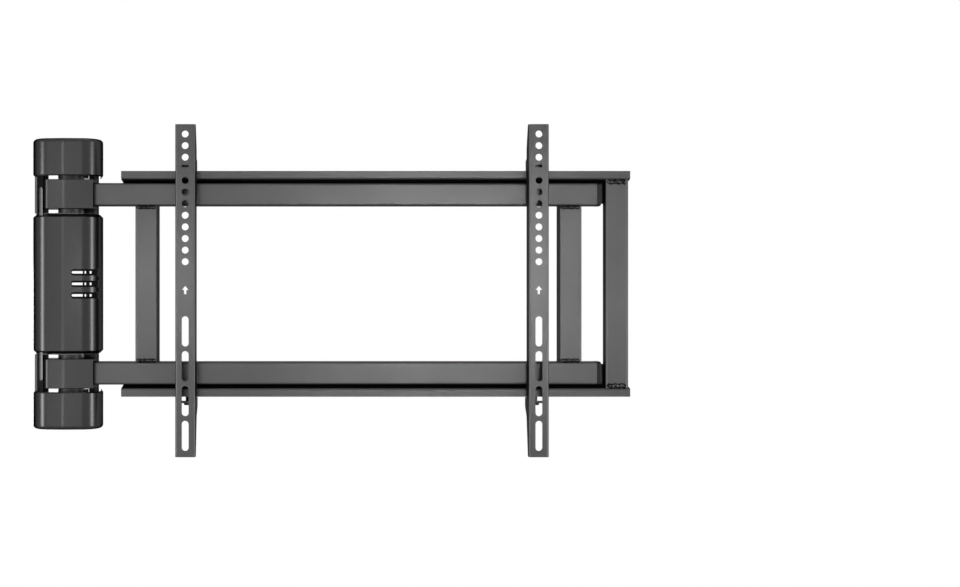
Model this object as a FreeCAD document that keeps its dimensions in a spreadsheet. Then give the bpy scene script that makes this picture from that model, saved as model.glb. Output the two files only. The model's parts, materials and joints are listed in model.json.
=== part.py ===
import FreeCAD, Part
import math
import os
import types

import Sketcher

# Driving sizes in millimetres, with counts and angles in degrees
SIZES = {
    # Wall channel
    "channel_width": 77.0,
    "channel_height": 360.0,
    "channel_sheet": 3.0,
    "channel_bend": 4.0,
    "left_flange_depth": 45.0,
    "flange_relief": 8.0,
    "right_flange_depth": 20.0,
    "wall_bolt_spacing_x": 40.0,
    "wall_bolt_spacing_z": 326.0,
    "wall_bolt_hole": 9.0,
    "hinge_window_left": 30.0,
    "hinge_window_middle": 11.5,
    "hinge_window_right": 25.0,
    "hinge_window_rise": 6.0,
    "hinge_window_step": 12.0,
    "back_vent_left": 0.8,
    "back_vent_length": 15.6,
    "back_vent_bar": 2.0,
    "back_vent_middle": 2.5,
    "back_vent_post": 4.4,
    "back_vent_end": 3.0,
    "back_vent_height": 4.3,
    # Hinge axis and bearings
    "pivot_x": 7.0,
    "pivot_from_wall": 33.0,
    "hinge_spacing": 234.2,
    "bearing_span": 49.0,
    "bearing_plate": 4.0,
    "bearing_tongue": 34.0,
    "bearing_tongue_round": 16.0,
    "shaft_diameter": 16.0,
    "running_clearance": 0.05,
    "thrust_gap": 0.3,
    "bush_flange": 34.0,
    "bush_spigot": 21.0,
    "bush_overhang": 1.0,
    "ring_diameter": 24.0,
    "ring_thickness": 1.5,
    "shaft_end": 3.0,
    "shaft_chamfer": 1.0,
    "pin_head_diameter": 24.0,
    "pin_head_height": 3.0,
    "knuckle_pin": 5.0,
    "press_clearance": 0.02,
    # Covers of the column
    "cover_width": 84.0,
    "cover_front": 63.0,
    "cover_left_shoulder": 58.7,
    "cover_right_shoulder": 59.8,
    "cover_crease_x": 1.7,
    "cover_crease_round": 24.0,
    "cover_left_round": 25.0,
    "cover_right_round": 25.0,
    "cover_right_lean": 13.5,
    "cover_wall": 2.5,
    "cover_wall_gap": 0.5,
    "cap_end_gap": 7.5,
    "cap_overlap": 0.6,
    "cap_round": 5.0,
    "cap_rim_chamfer": 1.6,
    "housing_height": 182.0,
    "housing_chamfer": 4.0,
    "housing_end_wall": 3.0,
    "housing_rim": 6.0,
    "vent_pitch": 15.0,
    "vent_height": 8.4,
    "vent_left": 12.0,
    "vent_flank_reach": 10.0,
    "cover_screw_diameter": 3.0,
    "cover_screw_head": 5.6,
    "cover_screw_sink": 1.6,
    "cover_screw_length": 9.0,
    "cover_screw_y": 22.0,
    "cap_screw_z": 160.0,
    "housing_screw_z": 75.0,
    # Hinge covers and knuckles
    "hinge_cover_height": 38.4,
    "hinge_cover_left": 31.0,
    "hinge_cover_right": 33.6,
    "hinge_cover_front": 62.4,
    "hinge_cover_left_shoulder": 60.4,
    "hinge_cover_right_shoulder": 60.0,
    "hinge_cover_crease": 4.3,
    "hinge_cover_crease_round": 30.0,
    "hinge_cover_round": 7.0,
    "hinge_cover_wall": 2.4,
    "hinge_cover_edge": 1.0,
    "cover_clearance": 0.5,
    "barrel_diameter": 34.0,
    "barrel_height": 40.0,
    "spigot_length": 26.0,
    "spigot_clearance": 0.1,
    # Swing arm
    "tube_height": 30.0,
    "tube_depth": 20.0,
    "tube_wall": 2.0,
    "tube_round": 3.0,
    "tube_from_wall": 30.5,
    "tube_start_x": 32.0,
    "tube_length": 666.2,
    "left_strut_x": 94.0,
    "right_strut_inset": 49.7,
    "strut_width": 30.0,
    "end_cap_flange": 5.6,
    "end_cap_lap": 0.2,
    "end_cap_round": 1.6,
    "end_cap_plug": 16.0,
    "end_cap_wall": 2.4,
    "tube_slot_margin": 16.0,
    "clamp_slot_width": 7.0,
    # Sliding frame for the screen
    "rail_sheet": 2.0,
    "rail_bend": 3.0,
    "rail_depth": 24.0,
    "rail_left_x": 75.8,
    "rail_reach": 43.2,
    "rail_gap": 0.9,
    "web_gap": 0.5,
    "lip_height": 14.6,
    "web_height": 27.0,
    "web_slot_length": 57.0,
    "web_slot_pitch": 73.0,
    "web_slot_end": 84.0,
    "web_slot_margin": 26.0,
    "slide_travel": 400.0,
    "frame_strut_inset": 1.9,
    "clamp_bolt": 6.0,
    "clamp_head": 10.0,
    "clamp_head_height": 4.0,
    "clamp_washer": 13.0,
    "clamp_washer_thickness": 1.6,
    "clamp_nut": 12.0,
    "clamp_nut_thickness": 5.0,
    "clamp_bolt_tail": 1.5,
    # Brackets for the screen
    "bracket_width": 26.0,
    "bracket_sheet": 2.0,
    "bracket_bend": 2.6,
    "bracket_height": 430.2,
    "bracket_rise": 58.7,
    "bracket_depth": 19.9,
    "bracket_end_depth": 9.0,
    "bracket_gap": 0.6,
    "bracket_hook_gap": 0.4,
    "bracket_hook_leg": 4.4,
    "bracket_hook_drop": 9.1,
    "bracket_hook_height": 14.0,
    "bracket_ear_gap": 1.4,
    "bracket_ear_height": 12.0,
    "bracket_ear_reach": 12.6,
    "left_bracket_x": 161.8,
    "right_bracket_inset": 122.7,
    "bracket_hole": 9.0,
    "bracket_hole_pitch": 15.0,
    "bracket_first_hole": 12.7,
    "bracket_hole_count": 12,
    "bracket_mark_place": 3,
    "bracket_mark_width": 9.4,
    "bracket_mark_height": 3.4,
    "bracket_slot_length": 39.0,
    "bracket_slot_pitch": 45.0,
    "bracket_slot_count": 4,
    "bracket_slot_drop": 255.0,
    "arrow_drop": 201.5,
    "arrow_height": 10.9,
    "arrow_width": 8.4,
    "arrow_stem": 3.2,
    "arrow_head": 5.4,
    "lock_tab_drop": 4.6,
    "lock_tab_back": 3.0,
    "lock_tab_depth": 13.0,
    "lock_screw": 5.0,
    "lock_screw_head": 9.4,
    "lock_screw_head_height": 3.6,
    "lock_screw_rise": 8.0,
    "lock_screw_from_lip": 5.0,
    # Drive
    "gear_module": 1.25,
    "gear_pressure_angle": 25.0,
    "pinion_teeth": 12,
    "sector_circle_teeth": 36,
    "sector_teeth": 14,
    "gear_backlash": 0.16,
    "gear_bottom": 60.0,
    "gear_face": 10.0,
    "sector_hub": 27.0,
    "sector_hub_height": 15.0,
    "motor_offset_x": -25.5,
    "motor_plate_top": 55.0,
    "motor_plate": 3.0,
    "motor_plate_side": 14.5,
    "motor_plate_front": 13.5,
    "motor_foot_left": 4.0,
    "motor_foot_height": 21.0,
    "motor_foot_screw_drop": 13.0,
    "foot_screw": 4.0,
    "foot_screw_head": 7.5,
    "foot_screw_head_height": 2.6,
    "foot_screw_length": 5.7,
    "gearbox_diameter": 26.0,
    "gearbox_height": 22.0,
    "motor_diameter": 24.4,
    "motor_height": 54.0,
    "motor_bell": 10.0,
    "motor_bell_height": 3.0,
    "motor_shaft": 6.0,
    "motor_shaft_depth": 10.0,
    "motor_shaft_hole": 10.0,
    "motor_screw": 3.0,
    "motor_screw_head": 5.4,
    "motor_screw_head_height": 1.8,
    "motor_screw_circle": 17.0,
    "cam_diameter": 28.0,
    "cam_height": 6.0,
    "cam_bottom": 76.5,
    "cam_flat": 3.0,
    "switch_length": 20.0,
    "switch_width": 6.4,
    "switch_height": 10.0,
    "switch_gap": 2.6,
    "switch_plunger": 3.0,
    "switch_plunger_gap": 0.6,
    # Control board and power inlet
    "board_width": 58.0,
    "board_height": 44.0,
    "board_thickness": 1.6,
    "board_centre_x": 2.0,
    "board_centre_z": -59.0,
    "board_standoff": 8.0,
    "board_standoff_diameter": 6.0,
    "board_hole": 3.2,
    "board_hole_inset": 4.0,
    "board_screw_head": 5.5,
    "board_screw_head_height": 2.0,
    "board_screw_length": 4.4,
    "relay_width": 15.0,
    "relay_height": 19.0,
    "relay_depth": 15.0,
    "relay_spacing": 18.0,
    "capacitor_diameter": 10.0,
    "capacitor_height": 14.0,
    "capacitor_spacing": 12.0,
    "capacitor_drop": 7.0,
    "connector_width": 14.0,
    "connector_height": 6.0,
    "connector_depth": 9.0,
    "inlet_diameter": 11.0,
    "inlet_rim": 14.0,
    "inlet_rim_height": 0.8,
    "inlet_length": 14.0,
    "inlet_bore": 6.4,
    "inlet_depth": 9.0,
    "inlet_pin": 2.1,
    "inlet_from_wall": 25.0,
    "inlet_z": -65.0,
    "inlet_clearance": 0.2,
}

EDGE_TOLERANCE = 0.01
PAST = 1.0  # how far a cut runs past the face that it opens
SWING = 90.0  # degrees that the arm turns out from the wall
ROOT_DEPTH = 1.25  # depth of a tooth below the pitch circle, in modules
FACING_LEFT = FreeCAD.Rotation(FreeCAD.Vector(0, 1, 0), -90)
FACING_ROOM = FreeCAD.Rotation(FreeCAD.Vector(1, 0, 0), 90)
FACING_DOWN = FreeCAD.Rotation(FreeCAD.Vector(1, 0, 0), 180)
SIDES = {"upper": 1, "lower": -1}

doc = FreeCAD.newDocument("TvWallMount")
sheet = doc.addObject("Spreadsheet::Sheet", "Sizes")
for row, (alias, value) in enumerate(SIZES.items(), start=1):
    sheet.set(f"A{row}", alias)
    sheet.set(f"B{row}", str(value))
    sheet.setAlias(f"B{row}", alias)
doc.recompute()


class Length:
    """A number together with the sheet formula that gives it."""

    def __init__(self, number, formula):
        self.number = float(number)
        self.formula = formula

    def __add__(self, other):
        other = as_length(other)
        return Length(self.number + other.number, f"({self.formula} + {other.formula})")

    def __radd__(self, other):
        return as_length(other) + self

    def __sub__(self, other):
        other = as_length(other)
        return Length(self.number - other.number, f"({self.formula} - {other.formula})")

    def __rsub__(self, other):
        return as_length(other) - self

    def __mul__(self, other):
        other = as_length(other)
        return Length(self.number * other.number, f"({self.formula} * {other.formula})")

    def __rmul__(self, other):
        return as_length(other) * self

    def __truediv__(self, other):
        other = as_length(other)
        return Length(self.number / other.number, f"({self.formula} / {other.formula})")

    def __neg__(self):
        return as_length(0) - self

    def root(self):
        return Length(math.sqrt(self.number), f"sqrt({self.formula})")


def as_length(value):
    return value if isinstance(value, Length) else Length(value, f"({float(value)})")


d = types.SimpleNamespace(**{alias: Length(value, f"Sizes.{alias}") for alias, value in SIZES.items()})
pieces = []


# Outlines for sketches


def bind(sketch, kind, places, length):
    index = sketch.addConstraint(Sketcher.Constraint(kind, *places, length.number))
    sketch.setExpression(f"Constraints[{index}]", length.formula)


def fix_point(sketch, geometry, end, x, y):
    bind(sketch, "DistanceX", (-1, 1, geometry, end), as_length(x))
    bind(sketch, "DistanceY", (-1, 1, geometry, end), as_length(y))


def polygon(*corners):
    """A closed outline through corners given as (x, y) or (x, y, rounding)."""
    points = [FreeCAD.Vector(as_length(c[0]).number, as_length(c[1]).number, 0) for c in corners]
    count = len(corners)

    def corner_arc(i):
        """Where the straight runs stop at a rounded corner, and the arc between them."""
        radius = as_length(corners[i][2]).number
        back = (points[i - 1] - points[i]).normalize()
        on = (points[(i + 1) % count] - points[i]).normalize()
        half = back.getAngle(on) / 2
        reach = radius / math.tan(half)
        centre = points[i] + (back + on).normalize() * (radius / math.sin(half))
        stops = [points[i] + back * reach, points[i] + on * reach]
        left_turn = back.cross(on).z < 0
        first, last = stops if left_turn else stops[::-1]
        angles = [math.atan2(p.y - centre.y, p.x - centre.x) for p in (first, last)]
        if angles[1] < angles[0]:
            angles[1] += 2 * math.pi
        circle_line = Part.Circle(centre, FreeCAD.Vector(0, 0, 1), radius)
        return stops, Part.ArcOfCircle(circle_line, *angles), (1, 2) if left_turn else (2, 1)

    def draw(sketch):
        rounded = {i: corner_arc(i) for i in range(count) if len(corners[i]) > 2}
        stops = [rounded[i][0] if i in rounded else [points[i], points[i]] for i in range(count)]
        lines = []
        for i in range(count):
            run = Part.LineSegment(stops[i][1], stops[(i + 1) % count][0])
            lines.append(sketch.addGeometry(run, False))
        for i, corner in enumerate(corners):
            before, after = lines[i - 1], lines[i]
            if i not in rounded:
                sketch.addConstraint(Sketcher.Constraint("Coincident", before, 2, after, 1))
                fix_point(sketch, after, 1, corner[0], corner[1])
                continue
            arc = sketch.addGeometry(rounded[i][1], False)
            tip = sketch.addGeometry(Part.Point(points[i]), True)
            enter, leave = rounded[i][2]
            sketch.addConstraint(Sketcher.Constraint("Tangent", before, 2, arc, enter))
            sketch.addConstraint(Sketcher.Constraint("Tangent", arc, leave, after, 1))
            sketch.addConstraint(Sketcher.Constraint("PointOnObject", tip, 1, before))
            sketch.addConstraint(Sketcher.Constraint("PointOnObject", tip, 1, after))
            fix_point(sketch, tip, 1, corner[0], corner[1])
            bind(sketch, "Radius", (arc,), as_length(corner[2]))

    return draw


def rectangle(left, right, low, high, rounding=None):
    extra = () if rounding is None else (rounding,)
    return polygon((left, low, *extra), (right, low, *extra), (right, high, *extra), (left, high, *extra))


def circle(x, y, diameter):
    def draw(sketch):
        centre = FreeCAD.Vector(as_length(x).number, as_length(y).number, 0)
        radius = as_length(diameter) / 2
        ring = sketch.addGeometry(Part.Circle(centre, FreeCAD.Vector(0, 0, 1), radius.number), False)
        fix_point(sketch, ring, 3, x, y)
        bind(sketch, "Radius", (ring,), radius)

    return draw


def slot(x, y, length, width, upright=False):
    """A round-ended slot about a centre, with its length from end to end."""
    x, y, radius = as_length(x), as_length(y), as_length(width) / 2
    reach = (as_length(length) - width) / 2
    first = (x, y - reach) if upright else (x - reach, y)
    last = (x, y + reach) if upright else (x + reach, y)
    turn = math.pi / 2 if upright else 0

    def draw(sketch):
        normal = FreeCAD.Vector(0, 0, 1)
        ends = [FreeCAD.Vector(p[0].number, p[1].number, 0) for p in (first, last)]
        side = FreeCAD.Vector(-math.sin(turn), math.cos(turn), 0) * radius.number
        quarter = math.pi / 2
        rings = [Part.Circle(end, normal, radius.number) for end in ends]
        start_arc = Part.ArcOfCircle(rings[0], turn + quarter, turn + 3 * quarter)
        end_arc = Part.ArcOfCircle(rings[1], turn - quarter, turn + quarter)
        low = sketch.addGeometry(Part.LineSegment(ends[0] - side, ends[1] - side), False)
        right = sketch.addGeometry(end_arc, False)
        high = sketch.addGeometry(Part.LineSegment(ends[1] + side, ends[0] + side), False)
        left = sketch.addGeometry(start_arc, False)
        for a, b in ((low, right), (right, high), (high, left), (left, low)):
            sketch.addConstraint(Sketcher.Constraint("Tangent", a, 2, b, 1))
        fix_point(sketch, left, 3, *first)
        fix_point(sketch, right, 3, *last)
        bind(sketch, "Radius", (left,), radius)
        bind(sketch, "Radius", (right,), radius)

    return draw


# Solids from outlines


def new_body(name):
    body = doc.addObject("PartDesign::Body", name)
    body.Label = name
    return body


def piece(name):
    body = new_body(name)
    pieces.append(body)
    return body


def sketch_on(body, plane, level, outlines):
    """A sketch on one of the body's own planes, moved along that plane's normal."""
    sketch = body.newObject("Sketcher::SketchObject", f"{body.Name}_{plane}")
    origin_plane = [f for f in body.Origin.OriginFeatures if f.Role == f"{plane}_Plane"][0]
    sketch.AttachmentSupport = (origin_plane, "")
    sketch.MapMode = "FlatFace"
    sketch.setExpression("AttachmentOffset.Base.z", level.formula)
    for outline in outlines:
        outline(sketch)
    return sketch


def extrude(body, plane, first, last, *outlines):
    """Material between two levels along the plane's axis."""
    low, high = sorted((as_length(first), as_length(last)), key=lambda level: level.number)
    sketch = sketch_on(body, plane, -high if plane == "XZ" else low, outlines)
    pad = body.newObject("PartDesign::Pad", f"{body.Name}_pad")
    pad.Profile = sketch
    pad.setExpression("Length", (high - low).formula)
    doc.recompute()


def cut(body, plane, first, last, *outlines):
    """Material taken away between two levels along the plane's axis."""
    low, high = sorted((as_length(first), as_length(last)), key=lambda level: level.number)
    volume = body.Shape.Volume
    sketch = sketch_on(body, plane, -low if plane == "XZ" else high, outlines)
    pocket = body.newObject("PartDesign::Pocket", f"{body.Name}_pocket")
    pocket.Profile = sketch
    pocket.setExpression("Length", (high - low).formula)
    doc.recompute()
    if body.Shape.Volume >= volume:
        raise RuntimeError(f"{body.Label}: a cut took nothing away")


def turn(body, *corners):
    """A turned solid about the body's own Z axis, from a half section of radius and height."""
    sketch = sketch_on(body, "XZ", as_length(0), [polygon(*corners)])
    revolution = body.newObject("PartDesign::Revolution", f"{body.Name}_turn")
    revolution.Profile = sketch
    revolution.ReferenceAxis = (sketch, ["V_Axis"])
    revolution.Angle = 360
    doc.recompute()


def ease_edges(body, kind, size, chosen):
    """A fillet or chamfer along the edges that the rule chooses."""
    tip = body.Tip
    names = [f"Edge{i}" for i, edge in enumerate(tip.Shape.Edges, start=1) if chosen(edge)]
    feature = body.newObject(f"PartDesign::{kind}", f"{body.Name}_{kind.lower()}")
    feature.Base = (tip, names)
    feature.setExpression("Radius" if kind == "Fillet" else "Size", as_length(size).formula)
    doc.recompute()


def place(body, x=0, y=0, z=0, rotation=None):
    if rotation:
        body.Placement = FreeCAD.Placement(FreeCAD.Vector(), rotation)
    for axis, value in zip("xyz", (x, y, z)):
        body.setExpression(f"Placement.Base.{axis}", as_length(value).formula)


def group(name, members):
    compound = doc.addObject("Part::Compound", name)
    compound.Label = name
    compound.Links = members
    pieces.append(compound)


def at_level(level):
    """A rule for edges that lie flat at one height."""
    def chosen(edge):
        box = edge.BoundBox
        return max(abs(box.ZMin - level.number), abs(box.ZMax - level.number)) < EDGE_TOLERANCE
    return chosen


# Places that several pieces share

half_channel = d.channel_width / 2
channel_inside = half_channel - d.channel_sheet
back_face = -d.channel_sheet
pivot_y = -d.pivot_from_wall
hinge_z = d.hinge_spacing / 2
outer_plate_face = hinge_z + d.bearing_span / 2
inner_plate_face = hinge_z - d.bearing_span / 2
cover_side = d.cover_width / 2
cover_back = -d.cover_wall_gap
cap_inner_end = outer_plate_face - d.cap_overlap
cap_outer_end = d.channel_height / 2 + d.cap_end_gap + d.cover_wall
housing_end = d.housing_height / 2
tube_back = -d.tube_from_wall
tube_front = tube_back - d.tube_depth
tube_middle = tube_back - d.tube_depth / 2
tube_end_x = d.tube_start_x + d.tube_length
web_front = tube_back + d.web_gap
web_back = web_front + d.rail_sheet
lip_front = web_back - d.rail_depth
lip_back = lip_front + d.rail_sheet
rail_flange = hinge_z + d.tube_height / 2 + d.rail_gap
lip_top = rail_flange + d.lip_height
web_low = rail_flange - d.web_height
slot_level = (web_low + rail_flange) / 2 - d.rail_gap
rail_right_x = tube_end_x + d.rail_reach
web_slot_room = rail_right_x - d.web_slot_end - d.rail_left_x - d.web_slot_margin - d.web_slot_length / 2
web_slot_places = [rail_right_x - d.web_slot_end - n * d.web_slot_pitch
                   for n in range(int(web_slot_room.number / d.web_slot_pitch.number) + 1)]
clamp_places = web_slot_places[:-3:-1]
shaft_radius = d.shaft_diameter / 2
bush_bore = d.shaft_diameter + d.running_clearance * 2
gear_distance = d.gear_module * (d.pinion_teeth + d.sector_circle_teeth) / 2
motor_x = d.pivot_x + d.motor_offset_x
motor_y = pivot_y + (gear_distance * gear_distance - d.motor_offset_x * d.motor_offset_x).root()
plate_bottom = d.motor_plate_top - d.motor_plate
inlet_y = -d.inlet_from_wall
board_back = back_face - d.board_standoff
board_front = board_back - d.board_thickness
board_holes = [
    (d.board_centre_x + sx * (d.board_width / 2 - d.board_hole_inset),
     d.board_centre_z + sz * (d.board_height / 2 - d.board_hole_inset))
    for sx in (-1, 1) for sz in (-1, 1)
]
foot_right = d.pivot_x + d.motor_plate_side
foot_screws = [
    (d.pivot_x + sx * (d.motor_foot_left + d.foot_screw), d.motor_plate_top - d.motor_foot_screw_drop)
    for sx in (-1, 1)
]
cover_screw_places = [s * z for s in (1, -1) for z in (d.cap_screw_z, d.housing_screw_z)]


# Fixed column on the wall


def make_wall_channel():
    body = piece("wall_channel")
    inside_bend = d.channel_bend - d.channel_sheet
    extrude(body, "XY", -d.channel_height / 2, d.channel_height / 2, polygon(
        (-half_channel, -d.left_flange_depth), (-channel_inside, -d.left_flange_depth),
        (-channel_inside, back_face, inside_bend), (channel_inside, back_face, inside_bend),
        (channel_inside, -d.right_flange_depth), (half_channel, -d.right_flange_depth),
        (half_channel, 0, d.channel_bend), (-half_channel, 0, d.channel_bend)))
    through = (back_face - PAST, as_length(PAST))
    tongue = d.bearing_tongue / 2
    for side in SIDES.values():
        top = side * (outer_plate_face + d.hinge_window_rise)
        step = side * (inner_plate_face + d.hinge_window_step)
        cut(body, "XZ", *through, polygon(
            (-d.hinge_window_left, side * inner_plate_face), (d.hinge_window_middle, side * inner_plate_face),
            (d.hinge_window_middle, step), (d.hinge_window_right, step),
            (d.hinge_window_right, top), (d.pivot_x + tongue, top),
            (d.pivot_x + tongue, side * outer_plate_face), (d.pivot_x - tongue, side * outer_plate_face),
            (d.pivot_x - tongue, top), (-d.hinge_window_left, top)))
    # Vents behind those of the housing, each in three openings
    openings = []
    left = d.back_vent_left
    for length, bar in ((d.back_vent_length, d.back_vent_bar), (d.back_vent_middle, d.back_vent_post),
                        (d.back_vent_end, 0)):
        openings += [rectangle(left, left + length, n * d.vent_pitch - d.back_vent_height / 2,
                               n * d.vent_pitch + d.back_vent_height / 2) for n in (-1, 0, 1)]
        left = left + length + bar
    cut(body, "XZ", *through, *openings)
    wall_bolts = [circle(sx * d.wall_bolt_spacing_x / 2, sz * d.wall_bolt_spacing_z / 2, d.wall_bolt_hole)
                  for sx in (-1, 1) for sz in (-1, 1)]
    foot_holes = [circle(x, z, d.foot_screw + d.press_clearance * 2) for x, z in foot_screws]
    cut(body, "XZ", *through, *wall_bolts, *foot_holes)
    flank = (-half_channel - PAST, -channel_inside + PAST)
    # Left flange cut back inside the covers
    front, relieved = -d.left_flange_depth - PAST, -d.left_flange_depth + d.flange_relief
    ear_end, top = cap_inner_end - d.cover_clearance, d.channel_height / 2 + PAST
    cut(body, "YZ", *flank, rectangle(front, relieved, -inner_plate_face, inner_plate_face),
        rectangle(front, relieved, ear_end, top), rectangle(front, relieved, -top, -ear_end))
    screw_hole = d.cover_screw_diameter + d.press_clearance * 2
    screw_holes = [circle(-d.cover_screw_y, z, screw_hole) for z in cover_screw_places]
    inlet_hole = circle(inlet_y, d.inlet_z, d.inlet_diameter + d.inlet_clearance * 2)
    cut(body, "YZ", *flank, *screw_holes, inlet_hole)


def make_outer_bearing_plate(end, side):
    body = piece(f"{end}_outer_bearing_plate")
    half = d.bearing_tongue / 2
    front = pivot_y - half
    extrude(body, "XY", side * outer_plate_face, side * (outer_plate_face + d.bearing_plate), polygon(
        (d.pivot_x - half, back_face), (d.pivot_x - half, front, d.bearing_tongue_round),
        (d.pivot_x + half, front, d.bearing_tongue_round), (d.pivot_x + half, back_face)))
    cut(body, "XY", side * (outer_plate_face - PAST), side * (outer_plate_face + d.bearing_plate + PAST),
        circle(d.pivot_x, pivot_y, d.bush_spigot + d.press_clearance * 2))


def make_inner_bearing_plate(end, side):
    body = piece(f"{end}_inner_bearing_plate")
    half = d.bearing_tongue / 2
    front = pivot_y - half - d.bearing_plate
    shoulder = -d.left_flange_depth + d.channel_bend
    low, high = side * (inner_plate_face - d.bearing_plate), side * inner_plate_face
    extrude(body, "XY", low, high, polygon(
        (-channel_inside, back_face - d.channel_bend), (-channel_inside, shoulder, d.channel_bend),
        (d.pivot_x - half, front, half / 2), (d.pivot_x + half, front, half / 2),
        (channel_inside, shoulder, d.channel_bend), (channel_inside, back_face - d.channel_bend),
        (channel_inside - d.channel_bend, back_face), (-channel_inside + d.channel_bend, back_face)))
    cut(body, "XY", low - side * PAST, high + side * PAST,
        circle(d.pivot_x, pivot_y, d.bush_spigot + d.press_clearance * 2))
    # Folded end stop beside the bush
    stop_left = d.pivot_x + d.bearing_tongue / 2
    stop_front = back_face - d.channel_bend - d.bearing_plate
    extrude(body, "XY", high, high + side * d.bearing_plate,
            rectangle(stop_left, channel_inside, stop_front, stop_front + d.bearing_plate))


def make_bush(name, plate_face, direction, flange):
    """A flanged bush with its spigot in a plate, seen from the flange side."""
    body = piece(name)
    bore, spigot = bush_bore / 2, d.bush_spigot / 2
    depth = direction * (d.bearing_plate + d.bush_overhang)
    turn(body, (bore, direction * -flange), (d.bush_flange / 2, direction * -flange),
         (d.bush_flange / 2, 0), (spigot, 0), (spigot, depth), (bore, depth))
    place(body, d.pivot_x, pivot_y, plate_face)


def make_hinge_bushes():
    flange = (d.bearing_span - d.barrel_height) / 2 - d.thrust_gap
    for end, side in SIDES.items():
        make_bush(f"{end}_outer_bush", side * outer_plate_face, side, flange)
        make_bush(f"{end}_inner_bush", side * inner_plate_face, -side, flange)


def cover_plan(inset=0):
    """The plan of the column covers, or the same plan drawn in by a wall."""
    side = cover_side - inset
    return polygon(
        (-side, cover_back + (PAST if inset else 0)),
        (-side, -d.cover_left_shoulder + inset, d.cover_left_round - inset),
        (d.cover_crease_x, -d.cover_front + inset, d.cover_crease_round - inset),
        (side + d.cover_right_lean, -d.cover_right_shoulder + inset, d.cover_right_round - inset),
        (side, cover_back + (PAST if inset else 0)))


def end_edges(level):
    """The edges round one end of a cover, apart from the open back."""
    flat = at_level(level)
    return lambda edge: flat(edge) and edge.BoundBox.YMin < cover_back.number - PAST


def sink_cover_screw(body, z):
    """A hole for a cover screw in the left flank, with a seat for its head."""
    inner = -cover_side + d.cover_wall
    cut(body, "YZ", -cover_side - PAST, inner + PAST,
        circle(-d.cover_screw_y, z, d.cover_screw_diameter + d.press_clearance * 2))
    cut(body, "YZ", -cover_side - PAST, -cover_side + d.cover_screw_sink,
        circle(-d.cover_screw_y, z, d.cover_screw_head + d.press_clearance * 2))


def make_cap(name, side):
    body = piece(name)
    extrude(body, "XY", side * cap_inner_end, side * cap_outer_end, cover_plan())
    ease_edges(body, "Fillet", d.cap_round, end_edges(side * cap_outer_end))
    ease_edges(body, "Chamfer", d.cap_rim_chamfer, end_edges(side * cap_inner_end))
    cut(body, "XY", side * (cap_inner_end - PAST), side * (cap_outer_end - d.cover_wall),
        cover_plan(d.cover_wall))
    sink_cover_screw(body, side * d.cap_screw_z)


def make_motor_housing():
    body = piece("motor_housing")
    extrude(body, "XY", -housing_end, housing_end, cover_plan())
    for side in SIDES.values():
        ease_edges(body, "Chamfer", d.housing_chamfer, end_edges(side * housing_end))
    hollow = housing_end - d.housing_end_wall
    cut(body, "XY", -hollow, hollow, cover_plan(d.cover_wall))
    # Open ends round the channel and the bearing plates
    cut(body, "XY", -housing_end - PAST, housing_end + PAST, cover_plan(d.housing_rim))
    mouth = cover_side - d.cover_wall
    cut(body, "XY", -housing_end - PAST, housing_end + PAST,
        rectangle(-mouth, mouth, -d.left_flange_depth - d.cover_clearance, cover_back + PAST))
    # Vents that wrap round the right corner
    vent_back = -d.cover_right_shoulder + d.vent_flank_reach
    vent_end = cover_side + d.vent_flank_reach
    vents = [slot((d.vent_left + vent_end) / 2, n * d.vent_pitch, vent_end - d.vent_left, d.vent_height)
             for n in (-1, 0, 1)]
    cut(body, "XZ", -d.cover_front - PAST, vent_back, *vents)
    for side in SIDES.values():
        sink_cover_screw(body, side * d.housing_screw_z)
    cut(body, "YZ", -cover_side - PAST, -cover_side + d.cover_wall + PAST,
        circle(inlet_y, d.inlet_z, d.inlet_diameter + d.inlet_clearance * 2))


def make_screw(name, diameter, head, head_height, length):
    """A round-headed screw along its own Z axis, with the seat of its head at zero."""
    body = new_body(name)
    turn(body, (0, -length), (diameter / 2, -length), (diameter / 2, 0), (head / 2, 0),
         (head / 2, head_height / 2), (head / 2 - head_height / 2, head_height), (0, head_height))
    return body


def make_cover_screws():
    members = []
    for n, z in enumerate(cover_screw_places):
        screw = make_screw(f"cover_screw_{n}", d.cover_screw_diameter, d.cover_screw_head,
                           d.cover_screw_sink, d.cover_screw_length)
        place(screw, -cover_side + d.cover_screw_sink, -d.cover_screw_y, z, FACING_LEFT)
        members.append(screw)
    group("cover_screws", members)


# Drive inside the housing


def make_motor_bracket():
    body = piece("motor_bracket")
    left = motor_x - d.motor_plate_side
    right = foot_right
    front = pivot_y - d.motor_plate_front
    corner = d.motor_plate_front
    extrude(body, "XY", plate_bottom, d.motor_plate_top, polygon(
        (left, back_face), (left, motor_y - d.motor_plate_side, d.motor_plate),
        (d.pivot_x - d.motor_plate_side, front, corner / 2), (right, front, corner), (right, back_face)))
    extrude(body, "XY", d.motor_plate_top - d.motor_foot_height, plate_bottom, rectangle(
        -d.motor_foot_left, right, back_face - d.motor_plate, back_face))
    screw_reach = d.motor_screw_circle / 2
    cut(body, "XY", plate_bottom - PAST, d.motor_plate_top + PAST,
        circle(d.pivot_x, pivot_y, d.bush_spigot + d.press_clearance * 2),
        circle(motor_x, motor_y, d.motor_shaft_hole),
        circle(motor_x - screw_reach, motor_y, d.motor_screw + d.press_clearance * 2),
        circle(motor_x + screw_reach, motor_y, d.motor_screw + d.press_clearance * 2))
    cut(body, "XZ", back_face - d.motor_plate - PAST, back_face + PAST,
        *[circle(x, z, d.foot_screw + d.press_clearance * 2) for x, z in foot_screws])


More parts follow.
